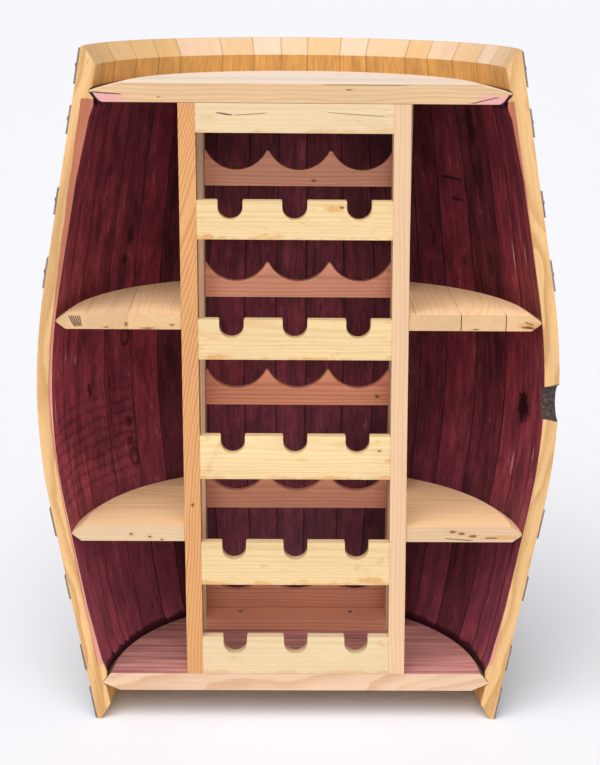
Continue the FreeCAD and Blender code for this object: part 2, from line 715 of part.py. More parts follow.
def build():
    pieces = make_staves()
    boards, dowels = make_heads()
    pieces.update(boards)
    for number, (low, high) in enumerate(hoop_heights(), 1):
        pieces[f"hoop_{number}"] = make_hoop(number, low, high)
    frame = make_frame()
    pieces.update(frame)
    for name, (side, top, along, seams) in SHELVES.items():
        pieces[name] = make_shelf(side, top, along, seams, frame)

    hoop_screws = hoop_screw_places()
    rivets = rivet_places()
    flat_groups = {
        "rail_screws": (RAIL_SCREW_LENGTH, rail_screw_places()),
        "cleat_screws": (CLEAT_HEIGHT + HEAD_THICKNESS - CLEAT_SCREW_COVER, cleat_screw_places()),
        "shelf_screws": (SHELF_SCREW_LENGTH, shelf_screw_places()),
    }
    hoop_drill = cylinder(ORIGIN, AXIS * -1, ROUND_SCREW_RADIUS + SCREW_CLEARANCE,
                          ROUND_SCREW_LENGTH + SCREW_CLEARANCE)
    rivet_drill = cylinder(ORIGIN, AXIS * -1, RIVET_RADIUS + SCREW_CLEARANCE,
                           2 * HOOP_THICKNESS + HOOP_FIT / 2)
    cutters = [aimed(hoop_drill, base, way) for base, way in hoop_screws]
    cutters += [aimed(rivet_drill, base, way) for base, way in rivets]
    groups = {"hoop_screws": (round_screw(), hoop_screws), "hoop_rivets": (rivet(), rivets)}
    for name, (length, places) in flat_groups.items():
        hole = flat_screw_hole(length)
        cutters += [aimed(hole, base, way) for base, way in places]
        groups[name] = (flat_screw(length), places)
    drill(pieces, cutters)

    for name, (pattern, places) in groups.items():
        pieces[name] = Part.makeCompound([aimed(pattern, base, way) for base, way in places])
    pieces["head_dowels"] = Part.makeCompound(dowels)
    return pieces


def main():
    os.makedirs("parts", exist_ok=True)
    home = Vector(0, -DEPTH / 2, 0)
    for name, shape in build().items():
        shape.translate(home)
        shape.exportStep(os.path.join("parts", f"{name}.step"))


main()
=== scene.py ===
import math

import bpy
from mathutils import Matrix, Vector


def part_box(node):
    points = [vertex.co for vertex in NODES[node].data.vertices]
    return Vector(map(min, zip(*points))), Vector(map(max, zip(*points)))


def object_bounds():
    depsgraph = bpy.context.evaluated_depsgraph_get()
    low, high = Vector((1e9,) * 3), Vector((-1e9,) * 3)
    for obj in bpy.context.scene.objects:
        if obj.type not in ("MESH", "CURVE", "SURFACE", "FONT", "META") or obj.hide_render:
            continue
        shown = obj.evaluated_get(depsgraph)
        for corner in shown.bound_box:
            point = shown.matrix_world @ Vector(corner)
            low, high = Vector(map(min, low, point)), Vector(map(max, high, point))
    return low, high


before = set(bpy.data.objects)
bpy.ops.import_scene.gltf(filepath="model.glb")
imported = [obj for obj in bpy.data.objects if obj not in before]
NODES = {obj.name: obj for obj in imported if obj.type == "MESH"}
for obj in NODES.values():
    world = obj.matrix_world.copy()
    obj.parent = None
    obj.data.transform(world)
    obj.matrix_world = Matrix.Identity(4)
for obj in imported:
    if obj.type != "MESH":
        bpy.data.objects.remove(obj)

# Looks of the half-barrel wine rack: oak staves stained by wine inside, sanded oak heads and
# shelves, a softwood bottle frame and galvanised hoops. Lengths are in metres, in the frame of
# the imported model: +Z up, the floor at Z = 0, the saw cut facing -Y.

CAD_LOW, CAD_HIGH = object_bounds()
SAW_CUT = CAD_LOW.y                     # plane of the saw cut
HEIGHT = CAD_HIGH.z
BILGE = CAD_HIGH.x                      # outside radius at the widest place
MM = 0.001


def srgb(red, green, blue):
    """Colour given as on screen, 0 to 255, made linear."""
    def linear(value):
        share = value / 255
        return share / 12.92 if share <= 0.04045 else ((share + 0.055) / 1.055) ** 2.4
    return (linear(red), linear(green), linear(blue))


# ---- camera, light and floor -----------------------------------------------------------------
CAMERA_PLACE = Vector((-0.0261, -2.3110, 1.0652))
CAMERA_HEADING = 0.013104               # radians to the right of +Y
CAMERA_PITCH = 0.25801                  # radians below the horizon
CAMERA_ROLL = 0.0086
LENS_MM = 76.08
SENSOR_MM = 36.0
FLOOR_REACH = 60.0
SKY = 0.33                              # brightness of the even light from above
HORIZON = 0.93                          # brightness of the backdrop at floor level
SKY_BLEND = (0.05, 0.18)                # how high the backdrop starts and ends turning into sky
BACKDROP = (0.97, 0.97, 1.0, 1)
PAPER = (0.878, 0.889, 0.936, 1)        # of the floor
PAPER_ROUGHNESS = 0.9
LAMP_DISTANCE = 3.0
# name: power, how wide, degrees to the right of straight ahead, degrees above the floor, colour
SUNS = {
    "soft_key": (2.75, 58, -16, 57, (1.0, 0.985, 0.965)),
    "low_fill": (0.40, 40, 6, 14, (1.0, 0.98, 0.96)),
}


def link(thing):
    bpy.context.scene.collection.objects.link(thing)
    return thing


def make_camera():
    data = bpy.data.cameras.new("camera")
    data.lens = LENS_MM
    data.sensor_width = SENSOR_MM
    camera = link(bpy.data.objects.new("camera", data))
    turn = (Matrix.Rotation(-CAMERA_HEADING, 3, "Z")
            @ Matrix.Rotation(math.pi / 2 - CAMERA_PITCH, 3, "X")
            @ Matrix.Rotation(CAMERA_ROLL, 3, "Z"))
    camera.matrix_world = Matrix.Translation(CAMERA_PLACE) @ turn.to_4x4()
    bpy.context.scene.camera = camera


def make_lights():
    """A wide soft light high in front, a weak low one, and even light from all round."""
    for name, (power, width, heading, height, colour) in SUNS.items():
        data = bpy.data.lights.new(name, "SUN")
        data.energy = power
        data.angle = math.radians(width)
        data.color = colour
        lamp = link(bpy.data.objects.new(name, data))
        heading, height = math.radians(heading), math.radians(height)
        toward = Vector((math.sin(heading) * math.cos(height), -math.cos(heading) * math.cos(height),
                         math.sin(height)))
        lamp.rotation_mode = "QUATERNION"
        lamp.rotation_quaternion = toward.to_track_quat("Z", "Y")
        lamp.location = toward * LAMP_DISTANCE
    world = bpy.data.worlds.new("studio")
    world.use_nodes = True
    nodes, links = world.node_tree.nodes, world.node_tree.links
    split = nodes.new("ShaderNodeSeparateXYZ")
    links.new(nodes.new("ShaderNodeTexCoord").outputs["Generated"], split.inputs[0])
    fall = nodes.new("ShaderNodeMapRange")
    fall.interpolation_type = "SMOOTHSTEP"
    for socket, value in zip(fall.inputs[1:5], (*SKY_BLEND, HORIZON, SKY)):
        socket.default_value = value
    links.new(split.outputs[2], fall.inputs[0])
    backdrop = nodes["Background"]
    backdrop.inputs["Color"].default_value = BACKDROP
    links.new(fall.outputs[0], backdrop.inputs["Strength"])
    bpy.context.scene.world = world
    bpy.context.scene.view_settings.view_transform = "Standard"


def make_floor():
    mesh = bpy.data.meshes.new("floor")
    reach = FLOOR_REACH
    corners = [(-reach, -reach, 0), (reach, -reach, 0), (reach, reach, 0), (-reach, reach, 0)]
    mesh.from_pydata(corners, [], [(0, 1, 2, 3)])
    floor = link(bpy.data.objects.new("floor", mesh))
    material = bpy.data.materials.new("floor_paper")
    material.use_nodes = True
    shader = material.node_tree.nodes["Principled BSDF"]
    shader.inputs["Base Color"].default_value = PAPER
    shader.inputs["Roughness"].default_value = PAPER_ROUGHNESS
    mesh.materials.append(material)


# ---- shader fields ---------------------------------------------------------------------------
class Field:
    """A number that varies over a surface. Arithmetic on it adds shader nodes."""

    def __init__(self, graph, socket):
        self.graph = graph
        self.socket = socket

    def __add__(self, other):
        return self.graph.math("ADD", self, other)

    def __sub__(self, other):
        return self.graph.math("SUBTRACT", self, other)

    def __mul__(self, other):
        return self.graph.math("MULTIPLY", self, other)

    def __truediv__(self, other):
        return self.graph.math("DIVIDE", self, other)

    def __rsub__(self, other):
        return self.graph.math("SUBTRACT", other, self)

    __radd__ = __add__
    __rmul__ = __mul__


class Graph:
    """A material and the fields that are the same for all: place, direction and barrel bearings."""

    def __init__(self, name):
        self.material = bpy.data.materials.new(name)
        self.material.use_nodes = True
        self.tree = self.material.node_tree
        self.tree.nodes.clear()
        place = self.node("ShaderNodeTexCoord").outputs["Object"]
        self.x, y, self.z = self.split(place)
        self.y = y - SAW_CUT
        normal = self.node("ShaderNodeNewGeometry").outputs["Normal"]
        self.nx, self.ny, self.nz = self.split(normal)

    def node(self, kind, inputs=None, **settings):
        made = self.tree.nodes.new(kind)
        for name, value in settings.items():
            setattr(made, name, value)
        for key, value in (inputs or {}).items():
            socket = made.inputs[key]
            if isinstance(value, Field):
                value = value.socket
            if isinstance(value, bpy.types.NodeSocket):
                self.tree.links.new(value, socket)
            elif socket.type == "RGBA":
                socket.default_value = (*value, 1)
            else:
                socket.default_value = value
        return made

    def split(self, vector):
        made = self.node("ShaderNodeSeparateXYZ", {0: vector})
        return [Field(self, made.outputs[axis]) for axis in range(3)]

    def vector(self, x, y, z):
        return self.node("ShaderNodeCombineXYZ", {0: x, 1: y, 2: z}).outputs[0]

    def math(self, operation, first, second=None, clamp=False):
        inputs = {0: first}
        if second is not None:
            inputs[1] = second
        made = self.node("ShaderNodeMath", inputs, operation=operation, use_clamp=clamp)
        return Field(self, made.outputs[0])

    def smooth(self, field, low, high):
        """0 below low, 1 above high, and an even step between; low may be above high."""
        made = self.node("ShaderNodeMapRange", {0: field, 1: low, 2: high, 3: 0.0, 4: 1.0},
                         interpolation_type="SMOOTHSTEP")
        return Field(self, made.outputs[0])

    def noise(self, x, y, z, detail=2.0, roughness=0.5, twist=0.0):
        made = self.node("ShaderNodeTexNoise",
                         {"Vector": self.vector(x, y, z), "Scale": 1.0, "Detail": detail,
                          "Roughness": roughness, "Distortion": twist})
        return Field(self, made.outputs[0])

    def speckle(self, x, y, z, detail=2.0, roughness=0.5):
        """Noise centred on 0."""
        return self.noise(x, y, z, detail, roughness) - 0.5

    def mix(self, share, first, second):
        """Between two colours."""
        made = self.node("ShaderNodeMix", {0: share, 6: first, 7: second}, data_type="RGBA",
                         clamp_factor=True)
        return made.outputs[2]

    def blend(self, share, first, second):
        """Between two numbers."""
        made = self.node("ShaderNodeMix", {0: share, 2: first, 3: second}, data_type="FLOAT",
                         clamp_factor=True)
        return Field(self, made.outputs[0])

    def shade(self, colour, factor):
        """A colour times a number."""
        made = self.node("ShaderNodeVectorMath", {0: colour, 3: factor}, operation="SCALE")
        return made.outputs[0]

    def length(self, *sides):
        """Of the vector with these sides."""
        squares = [side * side for side in sides]
        total = squares[0]
        for square in squares[1:]:
            total = total + square
        return self.math("SQRT", total)

    def either(self, first, second):
        return self.math("MAXIMUM", first, second)

    def both(self, first, second):
        return self.math("MULTIPLY", first, second)

    def front(self):
        """1 on faces that look out of the saw cut."""
        return self.smooth(self.ny, -0.7, -0.85)

    def surface(self, colour, roughness, height, specular=0.25, **fixed):
        """Close the graph: height is in metres, and fixed holds sockets that don't vary."""
        bump = self.node("ShaderNodeBump", {"Height": height, "Strength": 1.0, "Distance": 1.0})
        shader = self.node("ShaderNodeBsdfPrincipled",
                           {"Base Color": colour, "Roughness": roughness,
                            "Normal": bump.outputs[0]})
        shader.inputs["Specular IOR Level"].default_value = specular
        for name, value in fixed.items():
            shader.inputs[name.replace("_", " ")].default_value = value
        self.node("ShaderNodeOutputMaterial", {0: shader.outputs[0]})
        return self.material


# ---- wood ------------------------------------------------------------------------------------
# The numbers that multiply a place in a noise are how fine it is, in waves a metre.
SWEEP_START = 0.4                       # how far below a board's middle its lines start to curve


class Wood:
    """How one kind of wood looks. Lengths are in metres."""

    def __init__(self, early, late, spacing=3.2 * MM, heart=(0.0, -0.09), wander=9 * MM, lean=0.0,
                 sweep=0.0, band=0.6, fibre=0.16, blotch=0.16, pores=0.25, rough=0.62):
        self.early = early          # colour between the growth lines
        self.late = late            # colour of the growth lines
        self.spacing = spacing      # from one growth line to the next
        self.heart = heart          # where the tree's middle was, across and through the board
        self.wander = wander        # how far the lines stray along the board
        self.lean = lean            # how far the grain runs out across the board
        self.sweep = sweep          # how the lines curve away towards the far end
        self.band = band            # how strongly the lines show
        self.fibre = fibre
        self.blotch = blotch
        self.pores = pores
        self.rough = rough


def grain(graph, wood, along, across, depth, seed):
    """Colour and height of solid wood at a place in its board."""
    a = along + seed * 1.73
    stray = graph.speckle(a * 2.6, across * 3, depth * 3 + seed, 1) * (2.0 * wood.wander)
    ripple = graph.speckle(a * 11, across * 40, depth * 40 + seed, 1) * (0.35 * wood.wander)
    bend = (along + SWEEP_START) * (along + SWEEP_START) * wood.sweep
    b = across + along * wood.lean + bend + stray + ripple - wood.heart[0]
    c = depth + stray * 0.5 - wood.heart[1]
    phase = graph.length(b, c) / wood.spacing
    saw = graph.math("FRACT", phase)
    ring = graph.math("FLOOR", phase)
    line = graph.both(graph.smooth(saw, 0.3, 0.86), graph.smooth(saw, 1.0, 0.92))
    strength = graph.noise(ring * 3.7, seed, a * 0.9, 1)
    line = line * (strength * 1.5) * wood.band
    fibre = graph.speckle(a * 26, across * 1100, depth * 1100, 2, 0.6)
    streak = graph.speckle(a * 7, across * 260, depth * 260, 3, 0.6)
    blotch = graph.speckle(a * 3.5 + 9.1, across * 22, depth * 22, 2)
    pore = graph.smooth(graph.noise(a * 75, across * 1500, depth * 1500 + 5, 1), 0.66, 0.8)
    pore = pore * (line + 0.35)
    colour = graph.mix(line, wood.early, wood.late)
    tone = fibre * wood.fibre + streak * (wood.fibre * 1.5) + blotch * (wood.blotch * 2) + 1.0
    colour = graph.shade(colour, tone - pore * wood.pores)
    height = line * (0.05 * MM) + fibre * (0.09 * MM) - pore * (0.14 * MM)
    return colour, height


def knot(graph, along, across, centre, length, width, seed):
    """How much of a knot or dark check shows at a place: 1 in its middle."""
    wobble = graph.speckle(along * 160 + seed, across * 160, seed, 2)
    a = (along - centre[0]) / length
    b = (across - centre[1]) / width
    distance = graph.length(a, b) + wobble * 1.1
    return graph.smooth(distance, 1.0, 0.45)


def stroke(graph, along, across, start, end, width, seed):
    """How much of a thin ragged crack between two points shows at a place."""
    reach = Vector(end) - Vector(start)
    length = reach.length
    unit = reach / length
    a = along - start[0]
    b = across - start[1]
    ragged = graph.speckle(along * 220, across * 220, seed, 2) * (1.6 * width)
    run = a * unit.x + b * unit.y
    off = graph.math("ABSOLUTE", b * unit.x - a * unit.y + ragged)
    inside = graph.both(graph.smooth(run, 0, 0.15 * length),
                        graph.smooth(run, length, 0.8 * length))
    return graph.both(graph.smooth(off, width, 0.35 * width), inside)


# ---- staves ----------------------------------------------------------------------------------
WINE_DARK = srgb(80, 28, 42)
WINE = srgb(158, 66, 76)
WINE_LIGHT = srgb(206, 116, 118)
SCUFF = srgb(206, 160, 164)
WASHED = srgb(120, 73, 92)               # tint of the staves where the wine has faded
HEAD_JOINT_BLACK = srgb(52, 16, 26)                 # nearly black band in the corners beside the heads
JOINT_BLACK_REACH = 9 * MM                     # how far the black band climbs the staves from a head
PAINTED_LIGHT_LOW_LEFT = 0.42                        # painted light: how much brighter the lower staves are on the left, so the upper part under the top head stays darker as painted shade
PAINTED_LIGHT_LOW_RIGHT = 0.2
BEVEL_OAK = srgb(226, 184, 126)
BEVEL_PALE = srgb(226, 198, 172)
HOWEL_OAK = srgb(212, 160, 92)
CUT_OAK = Wood(srgb(216, 174, 121), srgb(186, 138, 84), spacing=2.6 * MM, heart=(0.0, -0.05),
               wander=12 * MM, band=0.9, fibre=0.2, blotch=0.3, pores=0.3, rough=0.6)
OUTSIDE_OAK = Wood(srgb(172, 130, 86), srgb(124, 86, 54), spacing=3.4 * MM, heart=(0.01, -0.06),
                   wander=12 * MM, band=0.8, fibre=0.22, blotch=0.3, pores=0.35, rough=0.72)
SOAK_BROWN = srgb(170, 96, 76)
SOAK_PINK = srgb(213, 145, 131)
CHAR = srgb(84, 74, 82)
STAVE_THICKNESS = 20.5 * MM
GROOVE = 57 * MM                        # stave end to the middle of the head groove
BEVEL_FOOT = 24 * MM
BEND_SLOPE = 0.1803                     # slope of the straight ends
BEND_ROUND = 15.6 * MM                  # how softly the slope turns at the middle
CHAR_DARK = srgb(38, 32, 38)
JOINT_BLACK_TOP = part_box("bottom_head_board_1")[1].z + JOINT_BLACK_REACH
BUNG_CHAR = 37 * MM                     # how far the bung hole's scorch reaches from its middle

# One line for each stave, from the left: brightness of its stain, how red it is, how streaky
# it is, and how deep the wine has soaked in at the saw cut (0 where no cut shows).
STAVES = (
    (1.30, 0.35, 1.1, 0.50),
    (1.12, 0.30, 1.3, 0.0),
    (1.00, 0.20, 1.1, 0.0),
    (0.86, 0.45, 0.9, 0.0),
    (1.00, 0.70, 0.8, 0.0),
    (0.52, 0.20, 0.6, 0.0),
    (0.84, 0.30, 1.0, 0.0),
    (0.74, 0.20, 0.9, 0.0),
    (0.92, 0.35, 1.0, 0.0),
    (0.80, 0.20, 1.2, 0.0),
    (0.68, 0.40, 0.9, 0.0),
    (0.52, 0.30, 0.7, 0.0),
    (0.64, 0.25, 0.9, 0.0),
    (0.88, 0.60, 0.9, 0.0),
    (0.58, 0.10, 1.5, 0.0),
    (1.10, 0.65, 1.2, 0.0),
    (1.02, 0.40, 1.3, 0.0),
    (1.12, 0.45, 1.1, 0.13),
)

# Marks inside the barrel that stand out. Bearings are whole degrees from the
# barrel's back towards +X. Dark knots and burns: bearing, height, half width, half height, strength.
DARK_SPOTS = (
    (74, 0.445, 26 * MM, 31 * MM, 1.0),
    (-64, 0.450, 9 * MM, 14 * MM, 0.85),
    (-63, 0.775, 8 * MM, 12 * MM, 0.6),
    (-50, 0.385, 12 * MM, 10 * MM, 0.7),
    (-50, 0.355, 10 * MM, 9 * MM, 0.6),
    (-52, 0.635, 8 * MM, 11 * MM, 0.7),
    (-51, 0.670, 9 * MM, 20 * MM, 0.75),
    (58, 0.840, 14 * MM, 40 * MM, 0.55),
    (59, 0.765, 15 * MM, 50 * MM, 0.5),
    (50, 0.635, 6 * MM, 18 * MM, 0.6),
    (60, 0.640, 8 * MM, 24 * MM, 0.6),
    (-56, 0.430, 5 * MM, 60 * MM, 0.5),
)
# Hollow dark rings: bearing, height, radius.
DARK_RINGS = ((-50, 0.515, 9 * MM), (-49, 0.330, 9 * MM))
RING_STRETCH = 0.7746                   # makes the rings taller than wide
# Cross cuts: bearings of the two ends and height.
CROSS_CUTS = ((44, 52, 0.755), (47, 52, 0.725))
# Pale scratches down the staves: bearing, height and half length.
SCRATCHES = (
    (72, 0.355, 20 * MM), (84, 0.390, 20 * MM), (83, 0.520, 24 * MM), (72, 0.660, 26 * MM),
    (80, 0.670, 20 * MM), (-86, 0.450, 26 * MM), (-83, 0.500, 10 * MM), (-77, 0.515, 8 * MM),
    (-71, 0.505, 8 * MM),
)
RIPPLE_LIMIT = -44                      # the ripples lie on the staves left of this bearing
RIPPLE_SPACING = 17 * MM


def stave_bearings(node):
    """Bearings of a stave's two long edges, in radians from the barrel's back towards +X."""
    bearings = [math.atan2(vertex.co.x, vertex.co.y - SAW_CUT)
                for vertex in node.data.vertices if vertex.co.y - SAW_CUT > -MM]
    return min(bearings), max(bearings)


def stave_marks(graph, across, low, high, seed):
    """Fields that are 1 on the dark and on the pale marks of the stave between two bearings."""
    def here(bearing, margin=0.0):
        return low - margin <= math.radians(bearing) <= high + margin

    def place(bearing):
        return math.radians(bearing) * BILGE

    dark = graph.math("ADD", 0.0, 0.0)
    pale = graph.math("ADD", 0.0, 0.0)
    for bearing, height, width, tall, strength in DARK_SPOTS:
        if here(bearing, width / BILGE):
            spot = knot(graph, graph.z, across, (height, place(bearing)), tall, width, seed)
            dark = graph.either(dark, spot * strength)
    for bearing, height, radius in DARK_RINGS:
        if here(bearing):
            a = graph.z - height
            b = across - place(bearing)
            off = graph.length(a * RING_STRETCH, b) - radius
            dark = graph.either(dark, graph.smooth(graph.math("ABSOLUTE", off), 4 * MM, 0) * 0.75)
    for start, end, height in CROSS_CUTS:
        if here((start + end) / 2):
            cut = stroke(graph, graph.z, across, (height + 3 * MM, place(start)),
                         (height, place(end)), 2.6 * MM, seed)
            dark = graph.either(dark, cut * 0.85)
    for bearing, height, half in SCRATCHES:
        if here(bearing):
            line = knot(graph, graph.z, across, (height, place(bearing)), half, 2.8 * MM, seed)
            pale = graph.either(pale, line * 0.75)
    if high < math.radians(RIPPLE_LIMIT):
        wobble = graph.noise(graph.z * 22, across * 34, seed, 2, 0.6) * 7
        wave = graph.math("SINE", graph.z * (math.tau / RIPPLE_SPACING) + wobble)
        zone = graph.both(graph.smooth(graph.z, 0.47, 0.43), graph.smooth(graph.z, 0.29, 0.31))
        ripple = graph.both(graph.smooth(wave, 0.1, 1.0), zone)
        dark = graph.either(dark, ripple * 0.34)
    return dark, pale


def stained_inside(graph, across, end, low, high, seed, look):
    """Colour and height of the wine-stained inside: streaks, blisters, pale smears, a nearly black
    band beside the heads, and painted shade that darkens the upper part.
    """
    tone, red, streaky = look
    across = across + graph.speckle(graph.z * 14, across * 26, seed, 1) * (5 * MM)
    fine = graph.noise(graph.z * 34, across * 560, seed, 4, 0.78)
    broad = graph.noise(graph.z * 6, across * 70, seed + 4, 3, 0.62)
    cloud = graph.noise(graph.z * 18, across * 42, seed + 8, 3, 0.65)
    light = (broad - 0.5) * (1.15 * streaky) + (fine - 0.5) * 2.5 + (cloud - 0.5) * 1.2 + 0.42
    wine = graph.mix(light, WINE_DARK, WINE)
    lift = graph.smooth(fine * 1.2 + broad * 0.8, 1.12, 1.5) * (0.7 * streaky)
    wine = graph.mix(lift, wine, WINE_LIGHT)
    redden = (1.0 + 0.1 * red, 1.0 - 0.16 * red, 1.0 - 0.14 * red)
    wine = graph.node("ShaderNodeMix", {0: 1.0, 6: wine, 7: redden}, data_type="RGBA",
                      blend_type="MULTIPLY").outputs[2]
    blister = graph.smooth(graph.noise(graph.z * 70, across * 190, seed + 2, 3, 0.65), 0.56, 0.7)
    patch = graph.smooth(graph.noise(graph.z * 4.5, across * 26, seed + 6, 1), 0.47, 0.62)
    blister = graph.both(blister, patch)
    smear = graph.noise(graph.z * 55, across * 70, seed + 12, 3, 0.65, 0.6)
    smear = graph.both(graph.smooth(smear, 0.6, 0.72), graph.smooth(cloud, 0.52, 0.64))
    wine = graph.mix(smear * 0.28, wine, SCUFF)
    faded = graph.smooth(graph.z, 0.5, 0.15) * 0.24 + 0.1
    wine = graph.mix(faded, wine, WASHED)
    dark, pale = stave_marks(graph, across, low, high, seed)
    shade = (1.0 - blister * 0.55 + (cloud - 0.5) * 0.7) * (1.0 - dark * 0.88)
    # painted light and shade: the stain is brighter on the lower part of the staves and darker near
    # the top under the top head, more so on the left
    painted_light_by_height = graph.smooth(graph.z, 0.72, 0.5) * (PAINTED_LIGHT_LOW_LEFT if high < 0 else PAINTED_LIGHT_LOW_RIGHT) + 0.94
    wine = graph.mix(pale, graph.shade(wine, shade * painted_light_by_height * tone), SCUFF)
    # a nearly black band on the staves next to each head
    joint_black = graph.smooth(end + (cloud - 0.5) * (16 * MM), JOINT_BLACK_TOP, JOINT_BLACK_TOP - 3 * MM)
    wine = graph.mix(joint_black * 0.85, wine, HEAD_JOINT_BLACK)
    height = fine * (0.3 * MM) - blister * (0.25 * MM) - dark * (0.5 * MM)
    return wine, height


def sanded_end(graph, across, end, number, seed):
    """Colour of the chime bevel and of the howel between it and the head."""
    line = graph.noise(graph.z * 30, across * 800, seed, 3, 0.65)
    cloud = graph.noise(graph.z * 16, across * 34, seed + 5, 3, 0.6)
    speck = graph.smooth(graph.noise(graph.z * 260, across * 420, seed + 1, 2, 0.6), 0.66, 0.74)
    worn = graph.smooth(cloud, 0.5, 0.64) * (0.9 if number < 8 else 0.4)
    howel = graph.shade(HOWEL_OAK, (line - 0.5) * 1.5 + (cloud - 0.5) * 0.9 + 1.0)
    howel = graph.mix(graph.both(speck, worn), howel, CRACK)
    pale = (number * 0.618) % 1.0
    bevel = graph.mix(0.15 + 0.85 * pale if number > 5 else 0.2 * pale, BEVEL_OAK, BEVEL_PALE)
    bevel = graph.shade(bevel, (cloud - 0.5) * 0.26 + (line - 0.5) * 0.1 + 0.94 + 0.1 * pale)
    foot = graph.smooth(end, BEVEL_FOOT - 0.5 * MM, BEVEL_FOOT + 0.5 * MM)
    return graph.mix(foot, bevel, howel), line * (0.2 * MM) * foot


def saw_cut(graph, oak, depth, end, soak, seed):
    """Colour of the sawn face: bare oak, soaked by wine from the inside, deeper at the top."""
    reach = graph.blend(graph.smooth(graph.z, 0.46, 0.78), 0.5 * soak, soak) * STAVE_THICKNESS
    wander = graph.speckle(graph.z * 9, seed, depth * 40, 3, 0.65) * (9 * MM)
    inward = STAVE_THICKNESS - depth + wander * (soak + 0.15)
    lower = graph.smooth(graph.z, 0.72, 0.45)
    past = end - lower * (18 * MM) - GROOVE
    soaked = graph.both(graph.smooth(inward, reach + MM, reach - 1.5 * MM),
                        graph.smooth(past + wander * 0.5, 8 * MM, 11 * MM))
    flame = graph.noise(graph.z * 16, depth * 620, seed + 3, 3, 0.7)
    rim = graph.both(graph.smooth(inward, reach * 0.85, reach * 0.5), lower)
    tint = graph.shade(graph.mix(rim, SOAK_BROWN, SOAK_PINK), (flame - 0.5) * 1.1 + 1.0)
    speck = graph.noise(graph.z * 90, depth * 700, seed + 9, 3, 0.7)
    oak = graph.shade(oak, 1.06 - graph.smooth(speck, 0.56, 0.74) * 0.3)
    return graph.mix(soaked * 0.9, oak, tint)


def bung_scorch(graph, colour, rise, outward, on_cut):
    """The right-hand stave's colour with the wall of its half bung hole burnt black."""
    ash = graph.noise(graph.x * 190, graph.y * 190, graph.z * 190, 4, 0.7)
    off = graph.length(graph.x - BILGE, rise, graph.y) + on_cut * (9 * MM) + (ash - 0.5) * (7 * MM)
    wall = graph.both(graph.smooth(outward, -0.5, -0.3), graph.smooth(outward, 0.5, 0.3))
    burnt = graph.both(graph.smooth(off, BUNG_CHAR, BUNG_CHAR - 3 * MM), wall)
    ash = graph.smooth(ash, 0.4, 0.66)
    return graph.mix(burnt * 0.95, colour, graph.mix(ash, CHAR_DARK, CHAR))


def stave_material(node, number, tone, red, streaky, soak):
    graph = Graph(node.name)
    low, high = stave_bearings(node)
    radius = graph.length(graph.x, graph.y)
    bearing = graph.math("ARCTAN2", graph.x, graph.y)
    rise = graph.z - HEIGHT / 2
    swell = graph.math("SQRT", rise * rise * BEND_SLOPE ** 2 + BEND_ROUND ** 2) - BEND_ROUND
    depth = BILGE - swell - radius
    across = bearing * BILGE
    outward = (graph.nx * graph.x + graph.ny * graph.y) / radius
    seed = number * 2.37
    end = graph.math("MINIMUM", graph.z, HEIGHT - graph.z)

    oak, oak_height = grain(graph, CUT_OAK, graph.z, across, depth, seed)
    wine, wine_height = stained_inside(graph, across, end, low, high, seed,
                                       (tone, red, streaky))
    chime, chime_height = sanded_end(graph, across, end, number, seed)
    stained = graph.smooth(end, GROOVE - 3 * MM, GROOVE - MM)
    inside = graph.mix(stained, chime, wine)
    bare, _ = grain(graph, OUTSIDE_OAK, graph.z, across, depth, seed + 1)
    grime = graph.noise(graph.z * 4, across * 9, seed, 4, 0.65)
    bare = graph.shade(bare, (grime - 0.5) * 0.9 + 0.95)
    cut = saw_cut(graph, oak, depth, end, soak, seed) if soak else oak

    on_cut = graph.both(graph.smooth(graph.ny, -0.6, -0.8),
                        graph.smooth(graph.y, 1.5 * MM, 0.5 * MM))
    colour = graph.mix(graph.smooth(outward, -0.25, -0.4), oak, inside)
    colour = graph.mix(graph.smooth(outward, 0.25, 0.4), colour, bare)
    colour = graph.mix(on_cut, colour, cut)
    seam = graph.math("MINIMUM", bearing - low, high - bearing) * radius
    ragged = graph.speckle(graph.z * 40, seed, 0.0, 2) * (1.6 * MM)
    gap = graph.smooth(seam + ragged, 1.5 * MM, 0.3 * MM)
    gap = graph.both(graph.both(gap, 1.0 - on_cut), graph.blend(stained, 0.45, 1.0))
    colour = graph.shade(colour, 1.0 - gap * 0.78)
    if number == len(STAVES):
        colour = bung_scorch(graph, colour, rise, outward, on_cut)
    inner = graph.both(graph.smooth(outward, -0.25, -0.4), 1.0 - on_cut)
    height = oak_height + graph.both(inner, graph.blend(stained, chime_height, wine_height))
    rough = graph.blend(inner, 0.66, graph.blend(stained, 0.6, 0.5))
    return graph.surface(colour, rough, height - gap * (0.5 * MM), 0.22)


# ---- boards ----------------------------------------------------------------------------------
RAIL_OAK = Wood(srgb(226, 198, 150), srgb(206, 166, 106), spacing=2.6 * MM, heart=(0.03, -0.075),
                wander=16 * MM, band=0.4, fibre=0.16, blotch=0.1, pores=0.25, rough=0.6)
LEFT_FIR = Wood(srgb(212, 158, 104), srgb(184, 112, 62), spacing=4.6 * MM, heart=(-0.10, -0.03),
                wander=20 * MM, sweep=-0.22, band=0.75, fibre=0.1, blotch=0.12, pores=0.0, rough=0.5)
RIGHT_FIR = Wood(srgb(222, 186, 150), srgb(208, 162, 118), spacing=5.5 * MM, heart=(0.08, -0.05),
                 wander=10 * MM, lean=0.015, band=0.5, fibre=0.1, blotch=0.12, pores=0.0,
                 rough=0.52)
REAR_WOOD = Wood(srgb(200, 134, 104), srgb(162, 94, 72), spacing=3.4 * MM, heart=(0.02, -0.05),
                 wander=14 * MM, band=0.7, fibre=0.16, blotch=0.16, pores=0.1, rough=0.6)
REAR_POST = Wood(srgb(216, 180, 148), srgb(186, 146, 116), spacing=4.2 * MM, heart=(0.03, -0.05),
                 wander=8 * MM, band=0.5, fibre=0.1, blotch=0.12, pores=0.0, rough=0.6)
